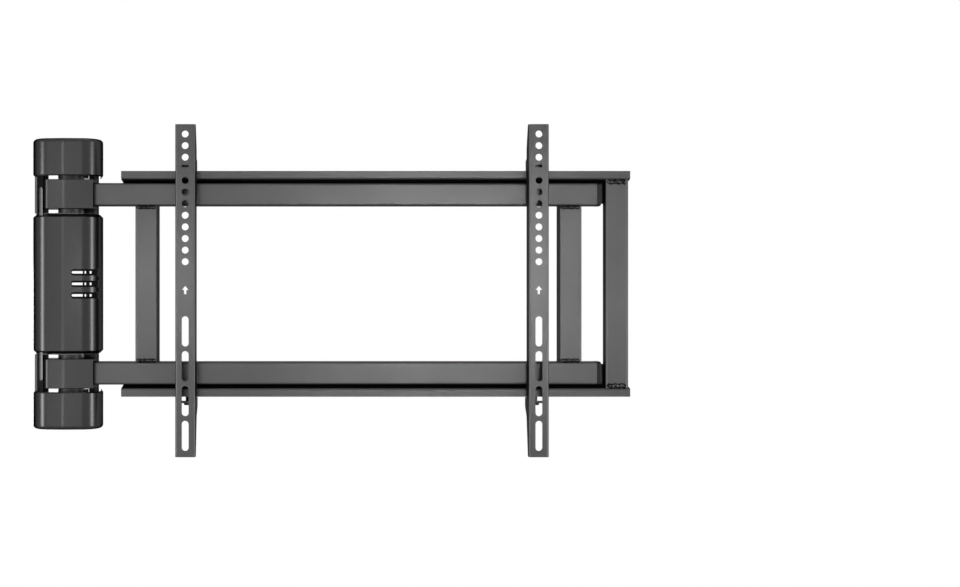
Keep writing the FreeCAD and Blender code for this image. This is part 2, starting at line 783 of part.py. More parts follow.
def make_gearbox():
    body = piece("gearbox")
    low = plate_bottom - d.gearbox_height
    extrude(body, "XY", low, plate_bottom, circle(motor_x, motor_y, d.gearbox_diameter))
    cut(body, "XY", plate_bottom - d.motor_shaft_depth, plate_bottom + PAST,
        circle(motor_x, motor_y, d.motor_shaft + d.running_clearance * 2))
    screw_reach = d.motor_screw_circle / 2
    screw_hole = d.motor_screw + d.press_clearance * 2
    cut(body, "XY", plate_bottom - d.motor_screw * 2, plate_bottom + PAST,
        *[circle(motor_x + sx * screw_reach, motor_y, screw_hole) for sx in (-1, 1)])
    ease_edges(body, "Chamfer", d.shaft_chamfer, at_level(low))


def make_motor():
    body = piece("motor")
    radius, bell = d.motor_diameter / 2, d.motor_bell / 2
    edge = d.shaft_chamfer
    turn(body, (0, 0), (radius, 0), (radius, edge - d.motor_height), (radius - edge, -d.motor_height),
         (bell, -d.motor_height), (bell, -d.motor_height - d.motor_bell_height),
         (0, -d.motor_height - d.motor_bell_height))
    place(body, motor_x, motor_y, plate_bottom - d.gearbox_height)


def make_motor_screws():
    members = []
    for n, sx in enumerate((-1, 1)):
        screw = make_screw(f"motor_screw_{n}", d.motor_screw, d.motor_screw_head, d.motor_screw_head_height,
                           d.motor_plate + d.motor_screw)
        place(screw, motor_x + sx * d.motor_screw_circle / 2, motor_y, d.motor_plate_top)
        members.append(screw)
    for n, (x, z) in enumerate(foot_screws):
        screw = make_screw(f"foot_screw_{n}", d.foot_screw, d.foot_screw_head, d.foot_screw_head_height,
                           d.foot_screw_length)
        place(screw, x, back_face - d.motor_plate, z, FACING_ROOM)
        members.append(screw)
    group("motor_screws", members)


def involute_flank(base_radius, radius):
    """How far round a flank has turned from its start on the base circle."""
    ratio = max(radius / base_radius, 1.0)
    angle = math.acos(1.0 / ratio)
    return math.tan(angle) - angle


def gear_outline(teeth, present, first_angle):
    """Flank, tip and root arcs of the present teeth, in order round the gear."""
    module, backlash = d.gear_module.number, d.gear_backlash.number
    pressure = math.radians(d.gear_pressure_angle.number)
    pitch_radius = module * teeth / 2
    base_radius = pitch_radius * math.cos(pressure)
    tip_radius, root_radius = pitch_radius + module, pitch_radius - module * ROOT_DEPTH
    start_radius = max(base_radius, root_radius)
    half_tooth = (math.pi * module / 2 - backlash / 2) / pitch_radius / 2
    turn_at_pitch = involute_flank(base_radius, pitch_radius)

    def half_angle(radius):
        return half_tooth + turn_at_pitch - involute_flank(base_radius, radius)

    def point(radius, angle):
        return FreeCAD.Vector(radius * math.cos(angle), radius * math.sin(angle), 0)

    middle_radius = (start_radius + tip_radius) / 2
    edges = []
    step = 2 * math.pi / teeth
    for n in range(present):
        centre = first_angle + n * step
        root_half = half_angle(start_radius)
        rise = [point(r, centre - half_angle(r)) for r in (start_radius, middle_radius, tip_radius)]
        fall = [point(r, centre + half_angle(r)) for r in (tip_radius, middle_radius, start_radius)]
        foot_in, foot_out = point(root_radius, centre - root_half), point(root_radius, centre + root_half)
        if start_radius > root_radius:
            edges.append(Part.LineSegment(foot_in, rise[0]).toShape())
        edges.append(Part.Arc(*rise).toShape())
        edges.append(Part.Arc(rise[2], point(tip_radius, centre), fall[0]).toShape())
        edges.append(Part.Arc(*fall).toShape())
        if start_radius > root_radius:
            edges.append(Part.LineSegment(fall[2], foot_out).toShape())
        last = present < teeth and n == present - 1
        if not last:
            next_foot = point(root_radius, centre + step - root_half)
            edges.append(Part.Arc(foot_out, point(root_radius, centre + step / 2), next_foot).toShape())
    return edges


def mesh_angle():
    """The direction from the hinge axis to the motor shaft, in radians."""
    return math.atan2(motor_y.number - pivot_y.number, motor_x.number - d.pivot_x.number)


def feature(name, shape, x, y, z):
    solid = doc.addObject("Part::Feature", name)
    solid.Label = name
    solid.Shape = shape
    solid.Placement = FreeCAD.Placement(FreeCAD.Vector(x.number, y.number, z.number), FreeCAD.Rotation())
    pieces.append(solid)


def upright(number):
    return FreeCAD.Vector(0, 0, number)


def make_pinion():
    teeth = int(d.pinion_teeth.number)
    outline = Part.Wire(Part.__sortEdges__(gear_outline(teeth, teeth, mesh_angle() + math.pi)))
    gear = Part.Face(outline).extrude(upright(d.gear_face.number))
    bore = Part.makeCylinder(d.motor_shaft.number / 2 + d.press_clearance.number, d.gear_face.number)
    feature("pinion", gear.cut(bore), motor_x, motor_y, d.gear_bottom)


def make_drive_sector():
    """A toothed sector on a hub, wide enough for the whole swing."""
    full, present = int(d.sector_circle_teeth.number), int(d.sector_teeth.number)
    face, step = d.gear_face.number, 2 * math.pi / full
    spare_teeth = (present - 1 - full * math.radians(SWING) / (2 * math.pi)) / 2
    first_angle = mesh_angle() - (math.ceil(spare_teeth) - 0.5) * step
    teeth = gear_outline(full, present, first_angle)
    hub = d.sector_hub.number / 2
    start, stop = teeth[0].Vertexes[0].Point, teeth[-1].Vertexes[-1].Point
    axis = FreeCAD.Vector()
    sides = [Part.LineSegment(stop, axis).toShape(), Part.LineSegment(axis, start).toShape()]
    plate = Part.Face(Part.Wire(Part.__sortEdges__(teeth + sides))).extrude(upright(face))
    barrel = Part.makeCylinder(hub, d.sector_hub_height.number)
    bore = Part.makeCylinder(shaft_radius.number + d.press_clearance.number, d.sector_hub_height.number)
    shape = plate.fuse(barrel).cut(bore).removeSplitter()
    feature("drive_sector", shape, d.pivot_x, pivot_y, d.gear_bottom)


def make_motor_shaft():
    body = piece("motor_shaft")
    radius, edge = d.motor_shaft / 2, d.shaft_chamfer / 2
    low = plate_bottom - d.motor_shaft_depth + d.thrust_gap
    high = d.gear_bottom + d.gear_face + d.shaft_chamfer
    turn(body, (0, low), (radius, low), (radius, high - edge), (radius - edge, high), (0, high))
    place(body, motor_x, motor_y)


def make_limit_cam():
    body = piece("limit_cam")
    half = d.cam_diameter / 2
    extrude(body, "XY", d.cam_bottom, d.cam_bottom + d.cam_height, circle(d.pivot_x, pivot_y, d.cam_diameter))
    cut(body, "XY", d.cam_bottom - PAST, d.cam_bottom + d.cam_height + PAST,
        circle(d.pivot_x, pivot_y, d.shaft_diameter + d.press_clearance * 2))
    cut(body, "XY", d.cam_bottom - PAST, d.cam_bottom + d.cam_height + PAST, rectangle(
        d.pivot_x + half - d.cam_flat, d.pivot_x + half + PAST, pivot_y - half, pivot_y + half))


def make_limit_switches():
    """Two switches hung under the upper bearing plate, with plungers that face the cam."""
    top = inner_plate_face - d.bearing_plate
    low = top - d.switch_height
    level = d.cam_bottom + d.cam_height / 2
    near = d.cam_diameter / 2 + d.switch_gap
    touch = d.cam_diameter / 2 + d.switch_plunger_gap
    half = d.switch_length / 2
    right = new_body("right_switch")
    extrude(right, "XY", low, top, rectangle(
        d.pivot_x + near, d.pivot_x + near + d.switch_width, pivot_y - half, pivot_y + half))
    extrude(right, "YZ", d.pivot_x + touch, d.pivot_x + near, circle(pivot_y, level, d.switch_plunger))
    rear = new_body("rear_switch")
    extrude(rear, "XY", low, top, rectangle(
        d.pivot_x - half, d.pivot_x + half, pivot_y + near, pivot_y + near + d.switch_width))
    extrude(rear, "XZ", pivot_y + touch, pivot_y + near, circle(d.pivot_x, level, d.switch_plunger))
    group("limit_switches", [right, rear])


def make_shaft_foot_bush():
    make_bush("shaft_foot_bush", d.motor_plate_top, -1, d.bush_overhang)


# Control board


def make_control_board():
    body = piece("control_board")
    x, z = d.board_centre_x, d.board_centre_z
    half_x, half_z = d.board_width / 2, d.board_height / 2
    extrude(body, "XZ", board_front, board_back, rectangle(x - half_x, x + half_x, z - half_z, z + half_z))
    holes = [circle(hole_x, hole_z, d.board_hole) for hole_x, hole_z in board_holes]
    cut(body, "XZ", board_front - PAST, board_back + PAST, *holes)


def make_board_standoffs():
    members = []
    for n, (x, z) in enumerate(board_holes):
        post = new_body(f"board_standoff_{n}")
        extrude(post, "XZ", board_back, back_face, circle(x, z, d.board_standoff_diameter))
        cut(post, "XZ", board_back - PAST, board_back + d.board_hole, circle(x, z, d.board_hole))
        members.append(post)
    group("board_standoffs", members)


def make_board_screws():
    members = []
    for n, (x, z) in enumerate(board_holes):
        screw = make_screw(f"board_screw_{n}", d.board_hole - d.press_clearance * 2, d.board_screw_head,
                           d.board_screw_head_height, d.board_screw_length)
        place(screw, x, board_front, z, FACING_ROOM)
        members.append(screw)
    group("board_screws", members)


def make_board_components():
    """Two relays, two capacitors and a connector on the front of the board."""
    members = []
    for n, sx in enumerate((-1, 1)):
        relay = new_body(f"relay_{n}")
        x = d.board_centre_x + sx * d.relay_spacing / 2
        half, low = d.relay_width / 2, d.board_centre_z
        extrude(relay, "XZ", board_front - d.relay_depth, board_front,
                rectangle(x - half, x + half, low, low + d.relay_height))
        capacitor = new_body(f"capacitor_{n}")
        x = d.board_centre_x + sx * d.capacitor_spacing / 2
        extrude(capacitor, "XZ", board_front - d.capacitor_height, board_front,
                circle(x, d.board_centre_z - d.capacitor_drop, d.capacitor_diameter))
        members += [relay, capacitor]
    connector = new_body("board_connector")
    low = d.board_centre_z - d.board_height / 2 + d.board_thickness
    extrude(connector, "XZ", board_front - d.connector_depth, board_front, rectangle(
        d.board_centre_x - d.connector_width / 2, d.board_centre_x + d.connector_width / 2,
        low, low + d.connector_height))
    group("board_components", members + [connector])


def make_power_inlet():
    body = piece("power_inlet")
    barrel, bore = d.inlet_diameter / 2, d.inlet_bore / 2
    floor = -d.inlet_depth
    turn(body, (0, -d.inlet_length), (barrel, -d.inlet_length), (barrel, 0), (d.inlet_rim / 2, 0),
         (d.inlet_rim / 2, d.inlet_rim_height), (bore, d.inlet_rim_height), (bore, floor),
         (d.inlet_pin / 2, floor), (d.inlet_pin / 2, -d.inlet_rim_height), (0, -d.inlet_rim_height))
    place(body, -cover_side, inlet_y, d.inlet_z, FACING_LEFT)


# Swing arm


def make_knuckle(end, side):
    body = piece(f"{end}_knuckle")
    level = side * hinge_z
    half = d.barrel_height / 2
    slack = d.spigot_clearance
    extrude(body, "XY", level - half, level + half, circle(d.pivot_x, pivot_y, d.barrel_diameter))
    extrude(body, "YZ", d.pivot_x, d.tube_start_x, rectangle(
        tube_front, tube_back, level - d.tube_height / 2, level + d.tube_height / 2, d.tube_round))
    extrude(body, "YZ", d.tube_start_x, d.tube_start_x + d.spigot_length, rectangle(
        tube_front + d.tube_wall + slack, tube_back - d.tube_wall - slack,
        level - d.tube_height / 2 + d.tube_wall + slack, level + d.tube_height / 2 - d.tube_wall - slack,
        d.tube_round - d.tube_wall))
    cut(body, "XY", level - half - PAST, level + half + PAST,
        circle(d.pivot_x, pivot_y, d.shaft_diameter + d.press_clearance * 2))
    cut(body, "XZ", pivot_y - d.barrel_diameter, pivot_y + d.barrel_diameter,
        circle(d.pivot_x, level, d.knuckle_pin + d.press_clearance * 2))


def make_hinge_cover(end, side):
    body = piece(f"{end}_hinge_cover")
    level = side * hinge_z
    half, wall = d.hinge_cover_height / 2, d.hinge_cover_wall
    left, right = d.pivot_x - d.hinge_cover_left, d.pivot_x + d.hinge_cover_right
    crease = d.pivot_x - d.hinge_cover_crease

    def plan(inset, back):
        return polygon(
            (left + inset, back),
            (left + inset, -d.hinge_cover_left_shoulder + inset, d.hinge_cover_round - inset),
            (crease, -d.hinge_cover_front + inset, d.hinge_cover_crease_round - inset),
            (right - inset, -d.hinge_cover_right_shoulder + inset), (right - inset, back))

    extrude(body, "XY", level - half, level + half, plan(as_length(0), tube_back))
    for end_level in (level - half, level + half):
        flat = at_level(end_level)
        ease_edges(body, "Fillet", d.hinge_cover_edge,
                   lambda edge: flat(edge) and edge.BoundBox.YMin < tube_back.number - PAST)
    cut(body, "XY", level - half + wall, level + half - wall, plan(wall, tube_back + PAST))
    # Open to the back round the barrel, and at the right round the tube
    room = d.barrel_diameter / 2 + d.cover_clearance
    room_round = d.bearing_tongue_round + d.cover_clearance
    cut(body, "XY", level - half - PAST, level + half + PAST, polygon(
        (d.pivot_x - room, tube_back + PAST), (d.pivot_x - room, pivot_y - room, room_round),
        (d.pivot_x + room, pivot_y - room, room_round), (d.pivot_x + room, tube_back + PAST)))
    opening = d.tube_height / 2 + d.cover_clearance
    cut(body, "YZ", right - wall - PAST, right + PAST, rectangle(
        tube_front - d.cover_clearance, tube_back + PAST, level - opening, level + opening))


def ring_groove(seat, direction):
    """Half section of the groove for a retaining ring, going out from its seat."""
    depth = shaft_radius - d.shaft_chamfer
    far = seat + direction * d.ring_thickness
    return [(shaft_radius, seat), (depth, seat), (depth, far), (shaft_radius, far)]


def make_drive_shaft():
    body = piece("drive_shaft")
    low = plate_bottom - d.bush_overhang - d.shaft_end
    seat = outer_plate_face + d.bearing_plate + d.bush_overhang + d.thrust_gap
    high = seat + d.ring_thickness + d.shaft_end
    edge = d.shaft_chamfer
    turn(body, (0, low), (shaft_radius - edge, low), (shaft_radius, low + edge), *ring_groove(seat, 1),
         (shaft_radius, high - edge), (shaft_radius - edge, high), (0, high))
    place(body, d.pivot_x, pivot_y)
    cross_hole(body, hinge_z)


def cross_hole(body, level):
    hole = d.knuckle_pin + d.press_clearance * 2
    cut(body, "XZ", -d.shaft_diameter, d.shaft_diameter, circle(0, level, hole))


def make_lower_pivot_pin():
    body = piece("lower_pivot_pin")
    seat = -(outer_plate_face + d.bearing_plate + d.bush_overhang + d.thrust_gap)
    low = seat - d.ring_thickness - d.shaft_end
    head = -(inner_plate_face - d.bearing_plate - d.bush_overhang - d.thrust_gap)
    head_radius, top, edge = d.pin_head_diameter / 2, head + d.pin_head_height, d.shaft_chamfer
    groove = ring_groove(seat, -1)[::-1]
    turn(body, (0, low), (shaft_radius - edge, low), (shaft_radius, low + edge), *groove,
         (shaft_radius, head), (head_radius, head), (head_radius, top - edge), (head_radius - edge, top),
         (0, top))
    place(body, d.pivot_x, pivot_y)
    cross_hole(body, -hinge_z)


def make_shaft_rings():
    members = []
    for end, side in SIDES.items():
        ring = new_body(f"{end}_shaft_ring")
        seat = side * (outer_plate_face + d.bearing_plate + d.bush_overhang + d.thrust_gap)
        bore = (shaft_radius - d.shaft_chamfer + d.press_clearance) * 2
        extrude(ring, "XY", seat, seat + side * d.ring_thickness,
                circle(d.pivot_x, pivot_y, d.ring_diameter), circle(d.pivot_x, pivot_y, bore))
        members.append(ring)
    group("shaft_rings", members)


def make_knuckle_pins():
    members = []
    for end, side in SIDES.items():
        pin = new_body(f"{end}_knuckle_pin")
        reach = d.barrel_diameter / 2 - d.shaft_chamfer
        extrude(pin, "XZ", pivot_y - reach, pivot_y + reach, circle(d.pivot_x, side * hinge_z, d.knuckle_pin))
        members.append(pin)
    group("knuckle_pins", members)


def make_arm_tube(end, side):
    body = piece(f"{end}_arm_tube")
    level = side * hinge_z
    half, wall = d.tube_height / 2, d.tube_wall
    extrude(body, "YZ", d.tube_start_x, tube_end_x,
            rectangle(tube_front, tube_back, level - half, level + half, d.tube_round),
            rectangle(tube_front + wall, tube_back - wall, level - half + wall, level + half - wall,
                      d.tube_round - wall))
    first, last = clamp_places[0] - d.tube_slot_margin, clamp_places[1] + d.slide_travel + d.tube_slot_margin
    cut(body, "XZ", tube_back - wall - PAST, tube_back + PAST,
        slot((first + last) / 2, side * slot_level, last - first, d.clamp_slot_width))


def make_strut(name, left, half_height, front, back):
    body = piece(name)
    wall, right = d.tube_wall, left + d.strut_width
    extrude(body, "XY", -half_height, half_height,
            rectangle(left, right, front, back, d.tube_round),
            rectangle(left + wall, right - wall, front + wall, back - wall, d.tube_round - wall))


def make_end_cap(end, side):
    body = piece(f"{end}_end_cap")
    level = side * hinge_z
    half, lap = d.tube_height / 2, d.end_cap_lap
    far = tube_end_x + d.end_cap_flange
    extrude(body, "YZ", tube_end_x, far, rectangle(
        tube_front - lap, tube_back + lap, level - half - lap, level + half + lap, d.tube_round + lap))
    ease_edges(body, "Fillet", d.end_cap_round, lambda edge: edge.BoundBox.XMin > far.number - EDGE_TOLERANCE)
    slack = d.tube_wall + d.spigot_clearance
    front, back = tube_front + slack, tube_back - slack
    low, high = level - half + slack, level + half - slack
    wall = d.end_cap_wall
    extrude(body, "YZ", tube_end_x - d.end_cap_plug, tube_end_x,
            rectangle(front, back, low, high, d.tube_round - d.tube_wall),
            rectangle(front + wall, back - wall, low + wall, high - wall))


# Sliding frame


def make_rail(end, side):
    body = piece(f"{end}_rail")
    bend, inside = d.rail_bend, d.rail_bend - d.rail_sheet
    flange_top = rail_flange + d.rail_sheet
    extrude(body, "YZ", d.rail_left_x, rail_right_x, polygon(
        (lip_front, side * lip_top), (lip_back, side * lip_top), (lip_back, side * flange_top, inside),
        (web_back, side * flange_top, bend), (web_back, side * web_low), (web_front, side * web_low),
        (web_front, side * rail_flange, inside), (lip_front, side * rail_flange, bend)))
    slots = [slot(x, side * slot_level, d.web_slot_length, d.clamp_slot_width) for x in web_slot_places]
    cut(body, "XZ", web_front - PAST, web_back + PAST, *slots)


def make_clamps():
    """Bolts through the rail webs into nuts that slide inside the arm tubes."""
    bolts, washers, nuts = [], [], []
    washer_back = web_back + d.clamp_washer_thickness
    nut_back = tube_back - d.tube_wall - d.thrust_gap
    nut_front = nut_back - d.clamp_nut_thickness
    bolt_end = nut_front - d.clamp_bolt_tail
    hole = d.clamp_bolt + d.press_clearance * 2
    for end, side in SIDES.items():
        level = side * slot_level
        for n, x in enumerate(clamp_places):
            bolt = new_body(f"{end}_clamp_bolt_{n}")
            flat, point = d.clamp_head / 2, d.clamp_head / math.sqrt(3)
            extrude(bolt, "XZ", washer_back, washer_back + d.clamp_head_height, polygon(
                (x - point, level), (x - point / 2, level - flat), (x + point / 2, level - flat),
                (x + point, level), (x + point / 2, level + flat), (x - point / 2, level + flat)))
            extrude(bolt, "XZ", bolt_end, washer_back, circle(x, level, d.clamp_bolt))
            washer = new_body(f"{end}_clamp_washer_{n}")
            extrude(washer, "XZ", web_back, washer_back,
                    circle(x, level, d.clamp_washer), circle(x, level, hole))
            nut = new_body(f"{end}_clamp_nut_{n}")
            half = d.clamp_nut / 2
            extrude(nut, "XZ", nut_front, nut_back,
                    rectangle(x - half, x + half, level - half, level + half), circle(x, level, hole))
            bolts.append(bolt)
            washers.append(washer)
            nuts.append(nut)
    group("clamp_bolts", bolts)
    group("clamp_washers", washers)
    group("clamp_nuts", nuts)


# Screen brackets


def make_bracket(hand, x):
    body = piece(f"{hand}_screen_bracket")
    half, sheet_wall = d.bracket_width / 2, d.bracket_sheet
    side_back = lip_front - d.bracket_gap
    front = side_back - d.bracket_depth
    end_back = front + d.bracket_end_depth
    top = lip_top + d.bracket_rise
    low = top - d.bracket_height
    hook_top = lip_top + d.bracket_hook_gap
    shoulder = hook_top + d.bracket_hook_height
    leg_front = lip_back + d.bracket_gap
    leg_back = leg_front + d.bracket_hook_leg
    ear_top = -lip_top - d.bracket_ear_gap
    ear_low = ear_top - d.bracket_ear_height
    ear_back = side_back + d.bracket_ear_reach
    bend = d.bracket_bend
    extrude(body, "YZ", x - half, x + half, polygon(
        (front, top), (end_back, top, bend), (side_back, shoulder + d.bracket_hook_height),
        (side_back, shoulder, bend), (leg_back, shoulder, bend),
        (leg_back, lip_top - d.bracket_hook_drop), (leg_front, lip_top - d.bracket_hook_drop),
        (leg_front, hook_top), (side_back, hook_top), (side_back, ear_top), (ear_back, ear_top),
        (ear_back, ear_low, bend), (side_back, ear_low - d.bracket_ear_height), (end_back, low, bend),
        (front, low)))
    # Folded sides, with the face bent from the same sheet
    cut(body, "XY", low - PAST, top + PAST, rectangle(
        x - half + sheet_wall, x + half - sheet_wall, front + sheet_wall, ear_back + d.bracket_depth))

    def is_bend(edge):
        box = edge.BoundBox
        return box.ZLength > d.bracket_height.number / 2 and box.YMax < front.number + EDGE_TOLERANCE
    ease_edges(body, "Fillet", bend, is_bend)
    first_hole = top - d.bracket_first_hole
    marked = int(d.bracket_mark_place.number)
    holes = [circle(x, first_hole - n * d.bracket_hole_pitch, d.bracket_hole)
             for n in range(int(d.bracket_hole_count.number)) if n != marked]
    slots = [slot(x, first_hole - d.bracket_slot_drop - n * d.bracket_slot_pitch, d.bracket_slot_length,
                  d.bracket_hole, upright=True) for n in range(int(d.bracket_slot_count.number))]
    mark = slot(x, first_hole - marked * d.bracket_hole_pitch + d.bracket_mark_height,
                d.bracket_mark_width, d.bracket_mark_height)
    through = (front - PAST, front + sheet_wall + PAST)
    cut(body, "XZ", *through, *holes, *slots, mark, up_arrow(x, first_hole - d.arrow_drop))
    # Plate that ties the two hooks behind the face
    extrude(body, "XY", hook_top, shoulder - bend, rectangle(
        x - half + sheet_wall / 2, x + half - sheet_wall / 2, leg_front, leg_front + sheet_wall))
    # Tab between the sides for the lock screw
    tab_high = ear_top - d.lock_tab_drop
    tab_back = ear_back - d.lock_tab_back
    extrude(body, "XY", tab_high - sheet_wall, tab_high, rectangle(
        x - half + sheet_wall / 2, x + half - sheet_wall / 2, tab_back - d.lock_tab_depth, tab_back))
    screw_y = lip_back + d.lock_screw_from_lip
    cut(body, "XY", tab_high - sheet_wall - PAST, tab_high + PAST,
        circle(x, screw_y, d.lock_screw + d.press_clearance * 2))
    screw = make_screw(f"{hand}_lock_screw", d.lock_screw, d.lock_screw_head, d.lock_screw_head_height,
                       sheet_wall + d.lock_tab_drop + d.bracket_ear_gap + d.lock_screw_rise)
    place(screw, x, screw_y, tab_high - sheet_wall, FACING_DOWN)
    pieces.append(screw)


def up_arrow(x, middle):
    """A cut-out that shows which end goes up."""
    tip, foot = middle + d.arrow_height / 2, middle - d.arrow_height / 2
    shoulder = tip - d.arrow_head
    wide, stem = d.arrow_width / 2, d.arrow_stem / 2
    return polygon((x, tip), (x - wide, shoulder), (x - stem, shoulder), (x - stem, foot),
                   (x + stem, foot), (x + stem, shoulder), (x + wide, shoulder))


# Build every piece

make_wall_channel()
for end, side in SIDES.items():
    make_outer_bearing_plate(end, side)
    make_inner_bearing_plate(end, side)
make_hinge_bushes()
make_cap("top_cap", 1)
make_cap("bottom_cap", -1)
make_motor_housing()
make_cover_screws()
make_motor_bracket()
make_shaft_foot_bush()
make_gearbox()
make_motor()
make_motor_screws()
make_limit_switches()
make_control_board()
make_board_standoffs()
make_board_screws()
make_board_components()
make_power_inlet()
make_motor_shaft()
make_pinion()
make_drive_shaft()
make_lower_pivot_pin()
make_shaft_rings()
make_knuckle_pins()
make_drive_sector()
make_limit_cam()
for end, side in SIDES.items():
    make_knuckle(end, side)
    make_hinge_cover(end, side)
    make_arm_tube(end, side)
    make_end_cap(end, side)
    make_rail(end, side)
arm_strut_reach = hinge_z - d.tube_height / 2
make_strut("left_arm_strut", d.left_strut_x, arm_strut_reach, tube_front, tube_back)
make_strut("right_arm_strut", tube_end_x - d.right_strut_inset, arm_strut_reach, tube_front, tube_back)
frame_strut_x = rail_right_x - d.frame_strut_inset - d.strut_width
frame_strut_back = web_front - (d.rail_bend - d.rail_sheet)
make_strut("frame_strut", frame_strut_x, rail_flange, frame_strut_back - d.tube_depth, frame_strut_back)
make_clamps()
make_bracket("left", d.left_bracket_x)
make_bracket("right", rail_right_x - d.right_bracket_inset)

# Check and write

doc.recompute()
failed = [item.Label for item in doc.Objects if {"Invalid", "Error"} & set(item.State)]
failed += [item.Label for item in pieces if item.Shape.isNull() or not item.Shape.isValid()]
if failed:
    raise RuntimeError("these did not build: " + ", ".join(failed))
os.makedirs("parts", exist_ok=True)
for item in pieces:
    item.Shape.exportStep(f"parts/{item.Label}.step")
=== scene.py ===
import json
import math

import bpy
from mathutils import Matrix, Vector
from mathutils.bvhtree import BVHTree

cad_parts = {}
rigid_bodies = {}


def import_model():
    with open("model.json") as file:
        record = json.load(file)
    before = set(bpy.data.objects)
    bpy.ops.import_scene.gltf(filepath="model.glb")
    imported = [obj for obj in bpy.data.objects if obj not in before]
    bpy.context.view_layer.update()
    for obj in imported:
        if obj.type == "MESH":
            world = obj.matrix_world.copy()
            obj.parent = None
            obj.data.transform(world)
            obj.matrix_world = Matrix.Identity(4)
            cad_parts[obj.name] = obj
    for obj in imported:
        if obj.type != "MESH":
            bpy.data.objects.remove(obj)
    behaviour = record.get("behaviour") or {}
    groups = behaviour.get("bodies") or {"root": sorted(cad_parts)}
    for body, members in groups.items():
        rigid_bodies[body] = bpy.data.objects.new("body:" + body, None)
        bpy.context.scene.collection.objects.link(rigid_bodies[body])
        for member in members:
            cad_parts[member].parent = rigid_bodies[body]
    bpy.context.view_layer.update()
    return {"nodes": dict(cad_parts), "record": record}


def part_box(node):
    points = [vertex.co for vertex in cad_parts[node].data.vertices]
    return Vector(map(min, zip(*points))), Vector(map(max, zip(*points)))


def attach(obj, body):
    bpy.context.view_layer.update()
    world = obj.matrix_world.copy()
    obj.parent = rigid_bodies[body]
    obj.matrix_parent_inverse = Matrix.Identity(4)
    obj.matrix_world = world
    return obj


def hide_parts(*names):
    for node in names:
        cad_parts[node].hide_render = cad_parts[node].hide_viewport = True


for leftover in list(bpy.data.objects):
    bpy.data.objects.remove(leftover)

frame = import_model()
nodes = frame["nodes"]
MM = 0.001


# Material helpers

NOISE_LOW, NOISE_HIGH = 0.3, 0.7  # range that most of a noise keeps to
GRAIN_DETAIL, GRAIN_ROUGHNESS = 2.0, 0.6
DRIFT_SCALE, DRIFT_DETAIL = 14, 3.0


def material(name, **sockets):
    """A material whose plain numbers and colours sit on the shader's own sockets."""
    made = bpy.data.materials.new(name)
    made.use_nodes = True
    shader = made.node_tree.nodes["Principled BSDF"]
    for socket, value in sockets.items():
        shader.inputs[socket.replace("_", " ")].default_value = value
    return made, made.node_tree, shader


def add(tree, kind, links=(), **settings):
    """A node with its settings, and links given as (socket, other node's output)."""
    node = tree.nodes.new(kind)
    for key, value in settings.items():
        if hasattr(node, key):
            setattr(node, key, value)
        else:
            node.inputs[key.replace("_", " ")].default_value = value
    for socket, output in links:
        tree.links.new(output, node.inputs[socket])
    return node


def place_of(tree, stretch=(1, 1, 1)):
    """The surface's own coordinates in metres, stretched along the axes."""
    coords = add(tree, "ShaderNodeTexCoord")
    mapping = add(tree, "ShaderNodeMapping", [("Vector", coords.outputs["Object"])])
    mapping.inputs["Scale"].default_value = stretch
    return mapping.outputs["Vector"]


def noise(tree, where, scale, detail=2.0, roughness=0.5):
    """A noise value over the surface."""
    made = add(tree, "ShaderNodeTexNoise", [("Vector", where)],
               Scale=scale, Detail=detail, Roughness=roughness)
    return made.outputs["Fac"]


def spread(tree, value, low, high, from_low=NOISE_LOW, from_high=NOISE_HIGH):
    """The value spread over a new range."""
    made = add(tree, "ShaderNodeMapRange", [("Value", value)])
    made.inputs["From Min"].default_value = from_low
    made.inputs["From Max"].default_value = from_high
    made.inputs["To Min"].default_value = low
    made.inputs["To Max"].default_value = high
    return made.outputs["Result"]


def between(tree, value, first, second):
    """A colour between two, by the value."""
    ramp = add(tree, "ShaderNodeValToRGB", [("Fac", value)])
    ramp.color_ramp.elements[0].position = NOISE_LOW
    ramp.color_ramp.elements[0].color = (*first, 1)
    ramp.color_ramp.elements[1].position = NOISE_HIGH
    ramp.color_ramp.elements[1].color = (*second, 1)
    return ramp.outputs["Color"]


def bump(tree, shader, height, strength, depth):
    """Relief from a height value."""
    made = add(tree, "ShaderNodeBump", [("Height", height)], Strength=strength, Distance=depth)
    tree.links.new(made.outputs["Normal"], shader.inputs["Normal"])


def coated(name, dark, light, grain, roughness, strength, depth, **sockets):
    """A coat or moulded skin: fine grain in bump and gloss, with a slow drift of tone."""
    made, tree, shader = material(name, **sockets)
    where = place_of(tree)
    fine = noise(tree, where, grain, GRAIN_DETAIL, GRAIN_ROUGHNESS)
    slow = noise(tree, where, DRIFT_SCALE, DRIFT_DETAIL)
    tree.links.new(between(tree, slow, dark, light), shader.inputs["Base Color"])
    tree.links.new(spread(tree, fine, *roughness), shader.inputs["Roughness"])
    bump(tree, shader, fine, strength, depth)
    return made


def turned_steel():
    """Bare steel with fine tool lines along one way."""
    dark, light = (0.5, 0.5, 0.51), (0.6, 0.6, 0.6)
    line_stretch, line_scale, line_detail, line_roughness = (1, 1, 40), 60, 3.0, 0.7
    tone_scale = 40
    roughness = (0.22, 0.36)
    strength, depth = 0.15, 0.00005
    made, tree, shader = material("turned_steel", Metallic=1.0)
    lines = noise(tree, place_of(tree, line_stretch), line_scale, line_detail, line_roughness)
    slow = noise(tree, place_of(tree), tone_scale)
    tree.links.new(between(tree, slow, dark, light), shader.inputs["Base Color"])
    tree.links.new(spread(tree, lines, *roughness), shader.inputs["Roughness"])
    bump(tree, shader, lines, strength, depth)
    return made


